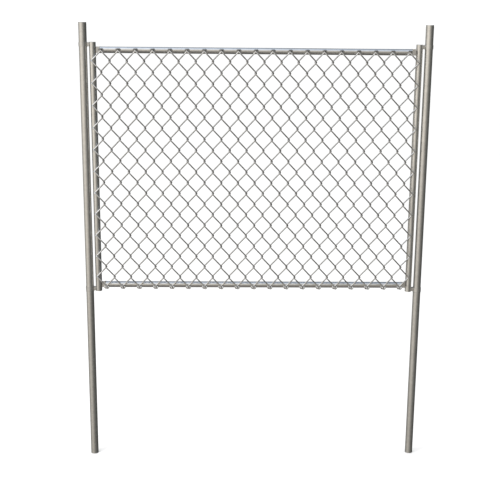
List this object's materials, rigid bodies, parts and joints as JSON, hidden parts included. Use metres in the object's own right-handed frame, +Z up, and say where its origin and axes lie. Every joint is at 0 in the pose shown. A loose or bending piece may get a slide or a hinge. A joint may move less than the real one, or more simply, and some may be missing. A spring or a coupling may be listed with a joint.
{
  "type": "water barrier fence panel",
  "caption": "Galvanised chain link panel in a welded tube frame that hangs by collars on long round posts, whose free lower ends pin it into a road barrier.",
  "frame": {"origin": "midway between the feet of the two posts, at the level of the feet, on the plane through both post axes", "axes": "+Z up along the posts, +X from the left post to the right post as seen from the mesh side, +Y from the mesh side to the back"},
  "size_m": [1.875, 0.0543, 2.4384],
  "materials": {
    "galvanised_tube": "galvanised, semi-gloss with faint spangle",
    "galvanised_fitting": "galvanised, satin, welded",
    "galvanised_wire": "galvanised wire, semi-gloss"
  },
  "bodies": {
    "posts": {"left_post": "galvanised_tube", "right_post": "galvanised_tube"},
    "panel": {"left_stile": "galvanised_tube", "right_stile": "galvanised_tube", "top_rail": "galvanised_tube", "bottom_rail": "galvanised_tube", "left_collars": "galvanised_fitting", "right_collars": "galvanised_fitting", "left_lugs": "galvanised_fitting", "right_lugs": "galvanised_fitting", "top_rail_tongues": "galvanised_fitting", "bottom_rail_tongues": "galvanised_fitting", "mesh_wire_01": "galvanised_wire", "mesh_wire_02": "galvanised_wire", "mesh_wire_03": "galvanised_wire", "mesh_wire_04": "galvanised_wire", "mesh_wire_05": "galvanised_wire", "mesh_wire_06": "galvanised_wire", "mesh_wire_07": "galvanised_wire", "mesh_wire_08": "galvanised_wire", "mesh_wire_09": "galvanised_wire", "mesh_wire_10": "galvanised_wire", "mesh_wire_11": "galvanised_wire", "mesh_wire_12": "galvanised_wire", "mesh_wire_13": "galvanised_wire", "mesh_wire_14": "galvanised_wire", "mesh_wire_15": "galvanised_wire", "mesh_wire_16": "galvanised_wire", "mesh_wire_17": "galvanised_wire", "mesh_wire_18": "galvanised_wire", "mesh_wire_19": "galvanised_wire", "mesh_wire_20": "galvanised_wire", "mesh_wire_21": "galvanised_wire", "mesh_wire_22": "galvanised_wire", "mesh_wire_23": "galvanised_wire", "mesh_wire_24": "galvanised_wire", "mesh_wire_25": "galvanised_wire", "mesh_wire_26": "galvanised_wire", "mesh_wire_27": "galvanised_wire", "mesh_wire_28": "galvanised_wire", "mesh_wire_29": "galvanised_wire", "mesh_wire_30": "galvanised_wire", "mesh_wire_31": "galvanised_wire", "mesh_wire_32": "galvanised_wire", "mesh_wire_33": "galvanised_wire", "mesh_wire_34": "galvanised_wire", "mesh_wire_35": "galvanised_wire", "mesh_wire_36": "galvanised_wire", "mesh_wire_37": "galvanised_wire", "mesh_wire_38": "galvanised_wire"}
  },
  "joints": [
    {"name": "panel_lift", "type": "slide", "parent": "posts", "child": "panel", "axis": [0, 0, 1], "range_m": [0, 1.458]}
  ]
}
